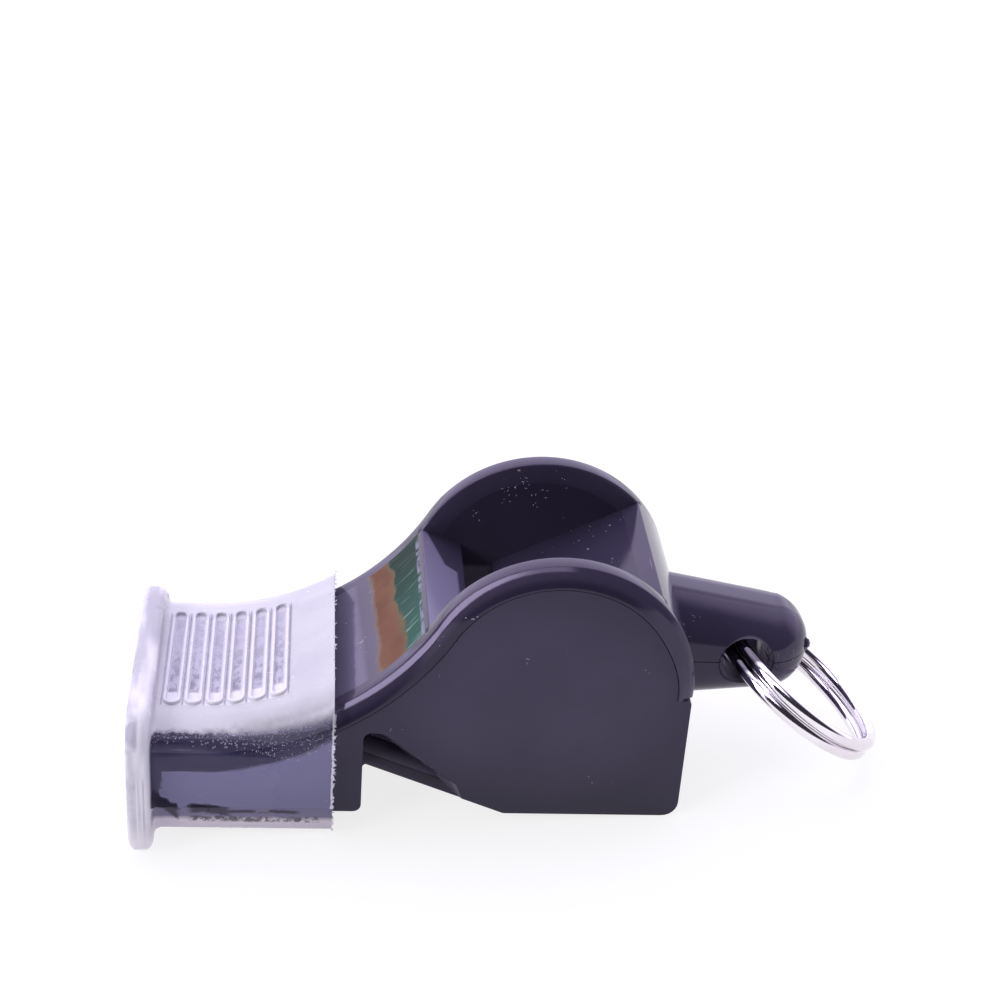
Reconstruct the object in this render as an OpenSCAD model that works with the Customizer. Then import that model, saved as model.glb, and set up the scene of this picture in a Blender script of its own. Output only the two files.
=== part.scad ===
// Three-chamber sports whistle with a soft mouth grip and a split ring.
// X runs from the mouth to the tail, Y across, Z up.
// The origin lies on the flat base face, straight below the centre of the round back.

/* [Body outline] */
// width of the body across the cheeks, mm
body_width = 20; // [18:0.5:22]
// radius of the round back, mm
arch_radius = 11; // [10.6:0.1:11.4]
// height of the round back's centre above the base, mm
arch_height = 11.7; // [11.3:0.1:12.1]
// radius of the hollow curve of the ramp in front of the opening, mm
ramp_radius = 21.2; // [20.6:0.1:21.8]
// angle at which the ramp runs into the round back, degrees
inflect_angle = 150; // [149:0.5:151]
// how far the mouth end lies ahead of the round back's centre, mm
mouth_reach = 31.8; // [30:0.2:34]
// how far the lower rear face lies behind the round back's centre, mm
back_reach = 10.8; // [10.4:0.1:10.95]
// overlap that keeps the two arcs from only just touching, mm
blend_overlap = 0.03; // [0.02:0.01:0.05]
// size of the rounded lower rear corner, mm
corner_size = 1.3; // [0.8:0.1:1.8]

/* [Cheeks and walls] */
// thickness of each cheek, mm
cheek_wall = 2.3; // [2:0.1:2.6]
// depth of the upper shell's side band below the outline, mm
band_depth = 1.65; // [1.4:0.05:1.9]
// size of the bevel along the upper shell's outer edges, mm
bevel_size = 0.7; // [0.4:0.1:0.9]
// how far the lower shell's side plates stand back from the band, mm
plate_step = 0.1; // [0.05:0.05:0.2]
// thickness of the outer walls between the cheeks, mm
wall = 1.4; // [1.2:0.1:1.6]
// height at which the two shells meet at the tail, mm
parting_height = 11.1; // [10.9:0.1:11.3]

/* [Underside] */
// how far the mouthpiece's rear wall lies ahead of the round back's centre, mm
notch_front = 14.9; // [14.5:0.1:15.3]
// how far the base's front edge lies ahead of the round back's centre, mm
base_front = 3.4; // [3:0.1:3.8]
// height of the slanted underside where it meets the mouthpiece's rear wall, mm
underside_rise = 4.7; // [4.5:0.1:4.9]
// floor thickness above the base and the mouthpiece's underside, mm
floor_wall = 1.2; // [1:0.1:1.4]
// how far ahead of the centre the lower windways' floor starts to rise, mm
sill_start = 24.5; // [24:0.1:25]
// height of the lower windways' floor at its highest point, mm
sill_height = 5.3; // [5.2:0.05:5.5]
// length of the level sill at that height, mm
sill_length = 0.5; // [0.3:0.1:0.7]

/* [Side windows] */
// height of the window's lower front corner, mm
window_low = 5.15; // [5.1:0.05:5.25]
// height of the window's upper front corner, mm
window_side = 6.1; // [5.9:0.1:6.3]
// how far the rounding behind that corner reaches back and up, mm
window_round = 1.0; // [0.8:0.1:1.1]
// distance from the window's front to its highest point, mm
window_peak = 1.75; // [1.7:0.05:1.9]
// height of the window's highest point, mm
window_height = 7.4; // [7.3:0.05:7.45]
// distance from the window's front to its rear tip, mm
window_length = 9.5; // [9.2:0.1:9.8]
// height of the window's rear tip, mm
window_tip = 1.35; // [1.3:0.05:1.5]

/* [Windways and chambers] */
// height of the upper windway's roof above the base at the mouth, mm
roof_height = 5.5; // [5.4:0.05:5.6]
// clear height of the upper windway, mm
windway_gap = 1.9; // [1.7:0.1:2]
// thickness of the divider between the windways and between the chambers, mm
divider_wall = 1; // [0.9:0.05:1.1]
// how far ahead of the centre the windways bend upwards, mm
bend_reach = 21.3; // [21:0.1:21.6]
// how far ahead of the centre the upper windway ends, mm
slot_reach = 6.7; // [6.4:0.1:7]
// height of the upper windway's roof where it ends, mm
slot_roof = 14.1; // [14:0.05:14.2]
// thickness of the lip above the end of the upper windway, mm
slot_lip = 0.9; // [0.8:0.05:1]
// how far ahead of the centre the opening's front edge lies, mm
lip_reach = 10.1; // [10:0.05:10.2]
// height of the opening's front edge, mm
lip_height = 16.25; // [16.2:0.05:16.3]
// height of the floor of the upper chamber, mm
chamber_floor = 10.6; // [10.4:0.1:10.8]
// length of the step from the slot down to that floor, mm
chamber_step = 0.8; // [0.6:0.1:1]
// how far ahead of the centre the sharp edge of the sloping floor lies, mm
blade_reach = 4; // [3.8:0.1:4.2]
// height of that sharp edge, mm
blade_height = 13.3; // [13.2:0.05:13.4]
// how far behind the centre the opening's rear edge lies, mm
rear_edge_reach = 7.9; // [7.8:0.05:8]
// height of the opening's rear edge, mm
rear_edge_height = 19.35; // [19.3:0.05:19.4]
// thickness of the sloping floor, mm
slope_wall = 1.3; // [1.1:0.1:1.5]
// length over which the sloping floor tapers to its sharp edge, mm
blade_length = 3; // [2.6:0.2:3.4]
// thickness of the curved back that joins the sloping floor to the divider, mm
core_back = 0.8; // [0.6:0.1:1]
// thickness of the web between the two lower chambers, mm
web_wall = 1; // [0.8:0.1:1.2]

/* [Tail lug] */
// width of the lug, mm
lug_width = 8; // [7.6:0.2:8.4]
// distance from the round back's centre to the tip of the lug, mm
lug_reach = 21.8; // [21.4:0.1:22.2]
// radius of the lug's rounded tip, mm
lug_tip_radius = 3.45; // [3.35:0.05:3.55]
// height of the lug's upper face at the body, mm
lug_root_top = 16.3; // [16:0.1:16.6]
// height of the lug's lower face at the body, mm
lug_root_low = 6.8; // [6.6:0.1:7]
// height of the tip's centre above the base, mm
lug_tip_height = 11.15; // [11.1:0.05:11.25]
// size of the bevel along the lug's upper long edges, mm
lug_bevel = 1.8; // [1.5:0.1:2]
// size of the bevel along the lug's lower long edges, mm
lug_low_bevel = 1.6; // [1.3:0.1:1.8]
// radius of the hole through the lug, mm
hole_radius = 1.95; // [1.9:0.05:2.1]
// distance from the round back's centre to the hole, mm
hole_reach = 16.2; // [16:0.1:16.4]
// depth and width of the bevel at each mouth of the hole, mm
hole_bevel = 0.35; // [0.3:0.05:0.4]

/* [Mouth grip] */
// wall of the soft sleeve at its sides, mm
grip_wall = 0.9; // [0.8:0.05:1]
// wall of the soft sleeve above and below the mouthpiece, mm
cushion_wall = 1.4; // [1.2:0.1:1.6]
// running clearance between the sleeve and the mouthpiece, mm
grip_clearance = 0.05; // [0.03:0.01:0.08]
// how far ahead of the centre the sleeve's rear edge lies, mm
grip_rear = 17.2; // [16.9:0.1:17.5]
// thickness of the end lip in front of the mouth, mm
grip_lip = 1.5; // [1.3:0.1:1.7]
// how far the end lip covers the mouth's rim, mm
lip_cover = 1; // [0.9:0.05:1.1]
// depth to which the loops are rooted in the sleeve, mm
loop_root = 0.2; // [0.1:0.05:0.3]
// length of the flange along the sleeve, mm
flange_length = 1.9; // [1.7:0.05:2.1]
// how far the flange stands out from the sleeve, mm
flange_proud = 1.7; // [1.4:0.1:2]
// radius of the flange's upper corners, mm
flange_top_round = 3.4; // [3:0.1:3.8]
// radius of the flange's lower corners, mm
flange_low_round = 2.2; // [1.8:0.1:2.6]
// bevel along the sleeve's upper long edges, mm
grip_bevel = 1.5; // [1.2:0.1:1.6]
// radius of the sleeve's lower long edges, mm
grip_low_round = 1.2; // [1:0.1:1.4]
// least distance from the last loop's centre to the sleeve's rear edge, mm
loop_margin = 3; // [2.6:0.1:3.4]
// distance from loop to loop, mm
loop_pitch = 1.68; // [1.65:0.01:1.75]
// width of a loop, mm
loop_width = 1.4; // [1.3:0.05:1.5]
// length of a loop across the grip, mm
loop_length = 14; // [13.4:0.2:14.6]
// width of the raised line that forms a loop, mm
loop_line = 0.3; // [0.26:0.02:0.36]
// how far the loops stand out from the sleeve, mm
loop_proud = 0.3; // [0.2:0.05:0.4]
// distance from the mouth end of the body to the first loop's centre, mm
loop_start = 1.75; // [1.65:0.05:1.9]

/* [Split ring] */
// thickness of the ring's wire, mm
wire = 1.05; // [1:0.05:1.1]
// radius of the ring at the middle of the wire, mm
ring_radius = 7.5; // [7.4:0.1:7.6]
// gap between the ring's two turns, mm
coil_gap = 0.06; // [0.04:0.01:0.1]
// how far the ring hangs towards the near side of its hole, mm
ring_shift = 1.2; // [1:0.1:1.2]
// angle by which the ring hangs below level, degrees
ring_droop = 35.5; // [30:0.5:42]
// angle by which the ring's near side is raised, degrees
ring_roll = 2.5; // [0:0.5:2.5]
// turn of the ring taken up by the step from one coil to the other, degrees
jog_angle = 24; // [20:1:30]
// where on the ring the step sits, degrees from the far end
jog_place = 122; // [118:1:123]
// how far each end of that step reaches into the coil, mm
jog_bite = 0.25; // [0.2:0.05:0.3]

/* [Hidden] */
$fn = 64;
over = 1;
half_width = body_width / 2;
cheek_in = half_width - cheek_wall;
ramp_gap = arch_radius + ramp_radius - blend_overlap;
ramp_x = ramp_gap * cos(inflect_angle);
ramp_z = arch_height + ramp_gap * sin(inflect_angle);
inflect_x = arch_radius * cos(inflect_angle);
mouth_top = ramp_z - ramp_radius + blend_overlap;
top_height = arch_height + arch_radius;
inner_back = back_reach - wall;
windway_floor = roof_height - windway_gap;
windway_rate = (slot_roof - roof_height) / (bend_reach - slot_reach);
divider_end = bend_reach - (chamber_floor - windway_floor) / windway_rate;
blade_rate = (rear_edge_height - blade_height) / (rear_edge_reach + blade_reach);
lip_rate = (lip_height - slot_roof - slot_lip) / (lip_reach - slot_reach);
corner_share = 1.01;
bevel_start = half_width - bevel_size;
root_share = 0.8;
lug_root = back_reach - wall * root_share;
tip_centre = lug_reach - lug_tip_radius;
top_lean = atan2(lug_root_top - lug_tip_height - lug_tip_radius, tip_centre - lug_root);
low_lean = atan2(lug_tip_height - lug_tip_radius - lug_root_low, tip_centre - lug_root);
tip_inner = lug_tip_radius - blend_overlap;
plan_radius = lug_width / 2 * corner_share;
grip_front = mouth_reach + grip_lip;
side_out = grip_clearance + grip_wall;
face_out = grip_clearance + cushion_wall;
flat_top = mouth_top + face_out;
loop_count = 1 + floor((mouth_reach - grip_rear - loop_start - loop_margin) / loop_pitch);
coil_half = (wire + coil_gap) / 2;
hole_bow = ring_radius - sqrt(pow(ring_radius, 2) - pow(lug_width / 2 + ring_shift, 2));
ring_offset = ring_radius - hole_bow / 2;
jog_start = jog_place - jog_angle / 2;
jog_end = jog_place + jog_angle / 2;
jog_run = 2 * ring_radius * sin(jog_angle / 2);
jog_length = sqrt(pow(jog_run, 2) + pow(2 * coil_half, 2)) + 2 * jog_bite;
quarter_turn = 90;
half_quarter = quarter_turn / 2;
full_turn = 360;

// turns a drawing in X and Z into a slab centred on Y = 0
module across(width) {
    rotate([quarter_turn, 0, 0]) linear_extrude(height = width, center = true) children();
}

// the same for a pair of slabs, one in each cheek, from the inner face out to the given half width
module in_cheeks(outer) {
    for (side = [-1, 1])
        translate([0, side * (cheek_in + outer) / 2, 0]) across(outer - cheek_in) children();
}

// side view of the body, drawn in from the true outline along its top by the inset
module outline(inset) {
    translate([0, arch_height]) circle(r = arch_radius - inset);
    difference() {
        polygon([
            [-mouth_reach, 0], [-mouth_reach, mouth_top - inset], [ramp_x, mouth_top - inset],
            [ramp_x, ramp_z], [0, arch_height], [0, parting_height],
            [back_reach, parting_height], [back_reach, 0]
        ]);
        translate([ramp_x, ramp_z]) circle(r = ramp_radius + inset);
        polygon([
            [-notch_front, -over], [-notch_front, underside_rise],
            [-base_front, 0], [-base_front, -over]
        ]);
        difference() {
            translate([back_reach - corner_size, -over]) square([corner_size + over, corner_size + over]);
            translate([back_reach - corner_size, corner_size]) circle(r = corner_size * corner_share);
        }
    }
}

// side view of the part that lies above the joint between the shells at the tail
module above_joint() {
    polygon([
        [-mouth_reach - over, 0], [0, 0], [0, parting_height], [lug_reach + over, parting_height],
        [lug_reach + over, top_height + over], [-mouth_reach - over, top_height + over]
    ]);
}

// side view of the band that the upper shell shows along the top of each side
module band_shape() {
    intersection() {
        difference() {
            outline(0);
            outline(band_depth);
        }
        above_joint();
    }
}

// side view of the ramp between the cheeks, from the mouth to the front lip of the opening
module roof_shape() {
    intersection() {
        outline(0);
        polygon([
            [-mouth_reach - over, roof_height], [-bend_reach, roof_height],
            [-slot_reach, slot_roof], [-slot_reach, slot_roof + slot_lip],
            [-lip_reach - over, lip_height + lip_rate * over],
            [-lip_reach - over, top_height], [-mouth_reach - over, top_height]
        ]);
    }
}

// side view of the wall behind the opening, between the cheeks
module rear_wall_shape() {
    intersection() {
        difference() {
            outline(0);
            translate([0, arch_height]) circle(r = arch_radius - wall);
        }
        polygon([
            [0, parting_height], [arch_radius + over, parting_height],
            [arch_radius + over, rear_edge_height + blade_rate * (arch_radius + over - rear_edge_reach)],
            [0, rear_edge_height - blade_rate * rear_edge_reach]
        ]);
    }
}

// bevel along the outer edge of the round back and of the ramp, on the side of positive Y
module bevel_cut() {
    difference() {
        translate([0, bevel_start - over / 2, arch_height]) rotate([-quarter_turn, 0, 0])
            cylinder(r = arch_radius + over, h = bevel_size + over);
        translate([0, bevel_start - over / 2, arch_height]) rotate([-quarter_turn, 0, 0])
            cylinder(r1 = arch_radius + over / 2, r2 = arch_radius - bevel_size - over / 2,
                h = bevel_size + over);
        translate([inflect_x, 0, -over])
            cube([top_height + over, half_width + over, parting_height + over]);
        translate([-arch_radius - 2 * over, 0, -over])
            cube([arch_radius + 2 * over + inflect_x, half_width + over, top_height + 2 * over]);
    }
    difference() {
        translate([ramp_x, bevel_start - over / 2, ramp_z]) rotate([-quarter_turn, 0, 0])
            cylinder(r1 = ramp_radius - over / 2, r2 = ramp_radius + bevel_size + over / 2,
                h = bevel_size + over);
        translate([inflect_x, 0, 0])
            cube([ramp_radius + over, half_width + over, ramp_z + ramp_radius + over]);
    }
}

// side view of the hollow of the lower shell
module lower_hollow() {
    polygon([
        [-mouth_reach - over, floor_wall], [-sill_start, floor_wall],
        [-notch_front, sill_height], [-notch_front + sill_length, sill_height],
        [-base_front + sill_length, floor_wall], [inner_back - corner_size, floor_wall],
        [inner_back, floor_wall + corner_size], [inner_back, top_height + over],
        [-mouth_reach - over, top_height + over]
    ]);
}

// side view of the opening in each side plate
module window_shape() {
    polygon([
        [-notch_front, window_low], [-notch_front, window_side],
        [-notch_front + window_round / 2, window_side + window_round],
        [-notch_front + window_round, window_height],
        [-notch_front + window_peak, window_height],
        [-notch_front + window_length, window_tip]
    ]);
}

// side view of the lug, from inside the rear wall to the tip
module lug_shape() {
    translate([tip_centre, lug_tip_height]) circle(r = lug_tip_radius);
    polygon([
        [lug_root, lug_root_low], [lug_root, lug_root_top],
        [tip_centre + tip_inner * sin(top_lean), lug_tip_height + tip_inner * cos(top_lean)],
        [tip_centre, lug_tip_height],
        [tip_centre + tip_inner * sin(low_lean), lug_tip_height - tip_inner * cos(low_lean)]
    ]);
}

// plan view of the lug, with its rounded tip
module lug_plan() {
    translate([lug_reach - plan_radius, 0]) circle(r = plan_radius);
    translate([lug_root, -lug_width / 2]) square([lug_reach - plan_radius - lug_root, lug_width]);
}

// bar along X whose two upper edges are bevelled, with its upper face at Z = 0
module bevelled_bar(bevel) {
    side = lug_width / 2 + over;
    flat = lug_width / 2 - bevel - over;
    translate([-lug_reach, 0, 0]) rotate([quarter_turn, 0, quarter_turn])
        linear_extrude(height = 2 * lug_reach)
            polygon([
                [-side, -top_height], [side, -top_height], [side, -bevel - over],
                [flat, over], [-flat, over], [-side, -bevel - over]
            ]);
}

// the lug before it is split between the shells
module lug() {
    difference() {
        intersection() {
            across(lug_width) lug_shape();
            linear_extrude(height = top_height) lug_plan();
            translate([lug_root, 0, lug_root_top]) rotate([0, top_lean, 0]) bevelled_bar(lug_bevel);
            translate([lug_root, 0, lug_root_low]) rotate([0, -low_lean, 0]) mirror([0, 0, 1])
                bevelled_bar(lug_low_bevel);
        }
        translate([hole_reach, 0, parting_height]) rotate([quarter_turn, 0, 0])
            cylinder(r = hole_radius, h = lug_width + 2 * over, center = true);
        for (side = [-1, 1])
            translate([hole_reach, side * (lug_width / 2 - hole_bevel - over / 2), parting_height])
                rotate([-side * quarter_turn, 0, 0])
                    cylinder(r1 = hole_radius - over / 2, r2 = hole_radius + hole_bevel + over / 2,
                        h = hole_bevel + over);
    }
}

module upper_shell() color([0.16, 0.14, 0.2]) {
    difference() {
        union() {
            in_cheeks(half_width) band_shape();
            across(2 * cheek_in) roof_shape();
            across(2 * cheek_in) rear_wall_shape();
        }
        bevel_cut();
        mirror([0, 1, 0]) bevel_cut();
    }
    intersection() {
        lug();
        translate([0, -half_width, parting_height]) cube([lug_reach + over, body_width, top_height]);
    }
}

module lower_shell() color([0.16, 0.14, 0.2]) {
    difference() {
        across(body_width - 2 * plate_step) outline(band_depth);
        across(2 * cheek_in) lower_hollow();
        across(body_width + 2 * over) window_shape();
    }
    intersection() {
        lug();
        translate([0, -half_width, 0]) cube([lug_reach + over, body_width, parting_height]);
    }
}

// side view of the divider under the upper windway and the upper chamber
module divider_shape() {
    polygon([
        [-mouth_reach, windway_floor], [-bend_reach, windway_floor],
        [-slot_reach, slot_roof - windway_gap], [-slot_reach + chamber_step, chamber_floor],
        [inner_back, chamber_floor], [inner_back, chamber_floor - divider_wall],
        [-divider_end, chamber_floor - divider_wall], [-bend_reach, windway_floor - divider_wall],
        [-mouth_reach, windway_floor - divider_wall]
    ]);
}

// side view of the sloping floor of the opening, with its sharp front edge
module blade_shape() {
    far_rise = blade_rate * (arch_radius + blade_reach);
    intersection() {
        polygon([
            [-blade_reach, blade_height], [arch_radius, blade_height + far_rise],
            [arch_radius, blade_height + far_rise - slope_wall],
            [blade_length - blade_reach, blade_height + blade_rate * blade_length - slope_wall]
        ]);
        translate([0, arch_height]) circle(r = arch_radius - wall);
    }
}

// side view of the curved back between the sloping floor and the divider
module back_shape() {
    intersection() {
        difference() {
            translate([0, arch_height]) circle(r = arch_radius - wall);
            translate([0, arch_height]) circle(r = arch_radius - wall - core_back);
        }
        polygon([
            [0, chamber_floor - divider_wall / 2], [inner_back, chamber_floor - divider_wall / 2],
            [inner_back, blade_height + blade_rate * (inner_back + blade_reach) - slope_wall / 2],
            [0, blade_height + blade_rate * blade_reach - slope_wall / 2]
        ]);
    }
}

// side view of the web between the two lower windways and chambers
module web_shape() {
    intersection() {
        lower_hollow();
        polygon([
            [-mouth_reach, 0], [-mouth_reach, windway_floor - divider_wall / 2],
            [-bend_reach, windway_floor - divider_wall / 2],
            [-divider_end, chamber_floor - divider_wall / 2],
            [inner_back, chamber_floor - divider_wall / 2], [inner_back, 0]
        ]);
    }
}

module chamber_core() color([0.1, 0.09, 0.13]) {
    across(2 * cheek_in) divider_shape();
    across(2 * cheek_in) blade_shape();
    across(2 * cheek_in) back_shape();
    across(web_wall) web_shape();
}

// side view of the sleeve, standing out from the mouthpiece by the given distance
module sleeve_shape(out) {
    difference() {
        polygon([
            [-grip_front, -out], [-grip_front, mouth_top + out], [ramp_x, mouth_top + out],
            [ramp_x, ramp_z], [-grip_rear, ramp_z], [-grip_rear, -out]
        ]);
        translate([ramp_x, ramp_z]) circle(r = ramp_radius - out);
    }
}

// what a round corner takes off a square one, for the corner at the origin of a square drawing
module corner_waste(radius) {
    difference() {
        translate([-over, -over]) square([radius + over, radius + over]);
        translate([radius, radius]) circle(r = radius * corner_share);
    }
}

// front view of a rectangle with two lower and two upper round corners
module front_shape(side, low, high, low_round, high_round) {
    difference() {
        translate([-side, low]) square([2 * side, high - low]);
        for (flip = [0, 1]) mirror([flip, 0]) {
            translate([-side, low]) corner_waste(low_round);
            translate([-side, high]) mirror([0, 1]) corner_waste(high_round);
        }
    }
}

// bevel along the sleeve's upper edge, on the side of positive Y
module grip_bevel_cut() {
    side = half_width + side_out;
    // along the level part
    translate([-grip_front - over, side, flat_top - grip_bevel]) rotate([-half_quarter, 0, 0])
        translate([0, -over - side, 0]) cube([grip_front + over + ramp_x, 2 * side, side]);
    // along the hollow curve
    difference() {
        translate([ramp_x, side - grip_bevel - over / 2, ramp_z]) rotate([-quarter_turn, 0, 0])
            cylinder(r1 = ramp_radius - face_out - over / 2,
                r2 = ramp_radius - face_out + grip_bevel + over / 2, h = grip_bevel + over);
        translate([-grip_front - over, 0, 0])
            cube([grip_front + over + ramp_x, side + 2 * over, ramp_z + ramp_radius]);
    }
}

// plan view of one loop, a bevelled frame that runs across the grip
module loop_frame(width, length, bevel) {
    polygon([
        [-width / 2, bevel - length / 2], [bevel - width / 2, -length / 2],
        [width / 2 - bevel, -length / 2], [width / 2, bevel - length / 2],
        [width / 2, length / 2 - bevel], [width / 2 - bevel, length / 2],
        [bevel - width / 2, length / 2], [-width / 2, length / 2 - bevel]
    ]);
}

module loops() {
    for (index = [0 : loop_count - 1])
        translate([loop_start - mouth_reach + index * loop_pitch, 0])
            difference() {
                loop_frame(loop_width, loop_length, loop_line);
                loop_frame(loop_width - 2 * loop_line, loop_length - 2 * loop_line, loop_line / 2);
            }
}

module mouth_grip() color([0.85, 0.85, 0.92, 0.5]) {
    difference() {
        union() {
            difference() {
                across(body_width + 2 * side_out) sleeve_shape(face_out);
                grip_bevel_cut();
                mirror([0, 1, 0]) grip_bevel_cut();
                for (flip = [0, 1]) mirror([0, flip, 0])
                    translate([-grip_front - over, -half_width - side_out, -face_out])
                        rotate([quarter_turn, 0, quarter_turn])
                            linear_extrude(height = mouth_reach) corner_waste(grip_low_round);
            }
            translate([-grip_front, 0, 0]) rotate([quarter_turn, 0, quarter_turn])
                linear_extrude(height = flange_length)
                    front_shape(half_width + side_out + flange_proud, -face_out - flange_proud,
                        flat_top + flange_proud, flange_low_round, flange_top_round);
        }
        // room for the mouthpiece
        across(body_width + 2 * grip_clearance) sleeve_room();
        // opening of the mouth
        translate([-grip_front - over, -half_width + lip_cover, lip_cover])
            cube([grip_lip + 2 * over, body_width - 2 * lip_cover, mouth_top - 2 * lip_cover]);
    }
    intersection() {
        linear_extrude(height = top_height) loops();
        across(body_width) difference() {
            sleeve_shape(face_out + loop_proud);
            sleeve_shape(face_out - loop_root);
        }
    }
    translate([0, 0, -face_out - loop_proud]) linear_extrude(height = loop_proud + loop_root) loops();
}

// side view of the room inside the sleeve, open towards the body
module sleeve_room() {
    difference() {
        polygon([
            [-mouth_reach - grip_clearance, -grip_clearance],
            [-mouth_reach - grip_clearance, mouth_top + grip_clearance],
            [ramp_x, mouth_top + grip_clearance], [ramp_x, ramp_z],
            [over - grip_rear, ramp_z], [over - grip_rear, -grip_clearance]
        ]);
        translate([ramp_x, ramp_z]) circle(r = ramp_radius - grip_clearance);
    }
}

// one turn of wire, broken where the ring steps from one coil to the other
module coil(height) {
    rotate([0, 0, jog_end]) rotate_extrude(angle = full_turn - jog_angle)
        translate([ring_radius, height]) circle(r = wire / 2, $fn = 24);
}

module split_ring() color([0.8, 0.8, 0.82]) {
    translate([hole_reach, 0, parting_height]) rotate([-ring_roll, ring_droop, 0])
        translate([ring_offset, -ring_shift, 0]) {
            coil(coil_half);
            coil(-coil_half);
            translate([ring_radius * cos(jog_start), ring_radius * sin(jog_start), coil_half])
                rotate([0, 0, jog_place + quarter_turn])
                    rotate([0, quarter_turn + atan2(2 * coil_half, jog_run), 0])
                        translate([0, 0, -jog_bite]) cylinder(r = wire / 2, h = jog_length, $fn = 24);
        }
}

upper_shell();
lower_shell();
chamber_core();
mouth_grip();
split_ring();
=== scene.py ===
import math

import bmesh
import bpy
import numpy as np
from mathutils import Matrix, Vector
from mathutils.bvhtree import BVHTree


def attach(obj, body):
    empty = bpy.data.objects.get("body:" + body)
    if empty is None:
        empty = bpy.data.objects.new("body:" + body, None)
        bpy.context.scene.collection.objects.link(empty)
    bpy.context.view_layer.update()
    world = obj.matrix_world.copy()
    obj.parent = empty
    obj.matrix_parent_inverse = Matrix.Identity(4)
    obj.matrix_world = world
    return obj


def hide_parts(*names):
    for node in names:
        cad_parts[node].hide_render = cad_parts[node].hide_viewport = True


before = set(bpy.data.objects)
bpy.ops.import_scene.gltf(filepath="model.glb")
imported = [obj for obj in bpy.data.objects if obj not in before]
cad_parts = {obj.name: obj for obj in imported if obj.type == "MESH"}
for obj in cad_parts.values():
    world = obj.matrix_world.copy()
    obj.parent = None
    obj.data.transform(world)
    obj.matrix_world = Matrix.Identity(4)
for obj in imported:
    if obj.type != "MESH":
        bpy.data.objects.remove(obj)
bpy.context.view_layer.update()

# sizes are in millimetres, as in the CAD, unless a comment says metres; angles are in degrees
MM = 0.001

# body: the round back, the hollow ramp in front of it, the mouth and the base
ARCH, ARCH_R = (0.0, 11.7), 10.985
RAMP, RAMP_R = (-27.86, 27.785), 21.185
INFLECT, TAIL_END = 150.0, -3.13
MOUTH = -31.8
MOUTH_TOP = RAMP[1] - RAMP_R
PARTING = 11.1
HALF, CHEEK_IN = 10.0, 7.7
PLATE = HALF - 0.1
BAND = 1.65
GROOVE = BAND + 0.05
BACK, BASE_FRONT, NOTCH_X = 10.8, -3.4, -14.9
WALL, FLOOR_WALL = 1.4, 1.2

# opening: its front lip, the end of the upper windway, and the edge of the rear wall
LIP = (-10.1, 16.25)
SLOT_X, SLOT_TOP, SLOT_ROOF = -6.7, 15.0, 14.1
WINDWAY_ROOF, WINDWAY_BEND = 5.5, -21.3
REAR_EDGE, REAR_R = (7.9, 19.35), 9.6
SLOPE = 0.5084

# tail lug and its hole
LUG_START, LUG_ROOT, LUG_STRAIGHT = 9.75, 9.68, 17.6
LUG_TOP, LUG_LOW, LUG_MID = 16.3, 6.8, PARTING + 0.05
LUG_FALL, LUG_RISE, LUG_TOP_TILT = 0.196, 0.1038, 11.1
LUG_HALF, LUG_TIP, LUG_TIP_R = 4.0, 21.8, 3.45
HOLE, HOLE_R = (16.2, PARTING), 1.92
SHELL_GAP = 0.07

# mouth grip
GRIP_FRONT, GRIP_REAR = -33.3, -17.2
GRIP_FIT = 0.05
SIDE, FACE, UNDER_FACE = 0.95, 1.45, 1.75
END_HALF, END_LIP = 9.0, 1.0
FLANGE_LENGTH, FLANGE_PROUD, FLANGE_ROUND = 1.9, 1.7, 0.62
FLANGE_CORNERS = (2.2, 3.1, 5.6)
LOOP_START, LOOP_PITCH, LOOPS = 1.75, 1.68, 6
LOOP_WIDTH, LOOP_LENGTH, LOOP_LINE, LOOP_LIFT = 1.42, 14.0, 0.30, 0.26
FLASH_BITS = 110

# split ring; its wire steps over to the second turn at JOG_START
RING_R, RING_SHIFT, WIRE, COIL_GAP = 7.5, 1.2, 1.05, 0.06
RING_DROOP, RING_ROLL = 35.5, -2.5
WIRE_START, WIRE_TURN, WIRE_STEP = 134.5, 695.0, 3.0
JOG_START, JOG_TURN = 470.0, 24.0

# the whistle lies on its flange, this much lower than its base, and on the base's rear edge
FLANGE_DROP, TABLE_EDGE, FLANGE_FOOT = 3.15, 9.6, -31.1

# mesh tools


def open_mesh(verts, faces):
    """A working mesh, welded and with its faces turned outward."""
    bm = bmesh.new()
    made = [bm.verts.new(tuple(map(float, v))) for v in verts]
    for f in faces:
        try:
            bm.faces.new([made[i] for i in f])
        except ValueError:
            # the face is there already
            pass
    bmesh.ops.remove_doubles(bm, verts=bm.verts, dist=1e-4)
    bmesh.ops.recalc_face_normals(bm, faces=bm.faces)
    return bm


def close_mesh(bm):
    """The corners and faces of a working mesh, which it ends."""
    bm.verts.ensure_lookup_table()
    bm.verts.index_update()
    out = [tuple(v.co) for v in bm.verts], [[v.index for v in f.verts] for f in bm.faces]
    bm.free()
    return out


def make(name, verts, faces, material, body, sharp=38.0, weld=True):
    """A visible piece that rides on a body."""
    mesh = bpy.data.meshes.new(name)
    mesh.from_pydata([tuple(float(c) * MM for c in v) for v in verts], [], faces)
    mesh.materials.append(material)
    bm = bmesh.new()
    bm.from_mesh(mesh)
    if weld:
        bmesh.ops.remove_doubles(bm, verts=bm.verts, dist=2e-6)
    bmesh.ops.recalc_face_normals(bm, faces=bm.faces)
    bm.to_mesh(mesh)
    bm.free()
    mesh.shade_smooth()
    mesh.set_sharp_from_angle(angle=math.radians(sharp))
    obj = bpy.data.objects.new(name, mesh)
    bpy.context.scene.collection.objects.link(obj)
    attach(obj, body)
    return obj


def arc(centre, radius, start, end, count):
    angles = np.radians(np.linspace(start, end, count))
    return [(centre[0] + radius * math.cos(t), centre[1] + radius * math.sin(t)) for t in angles]


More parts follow.
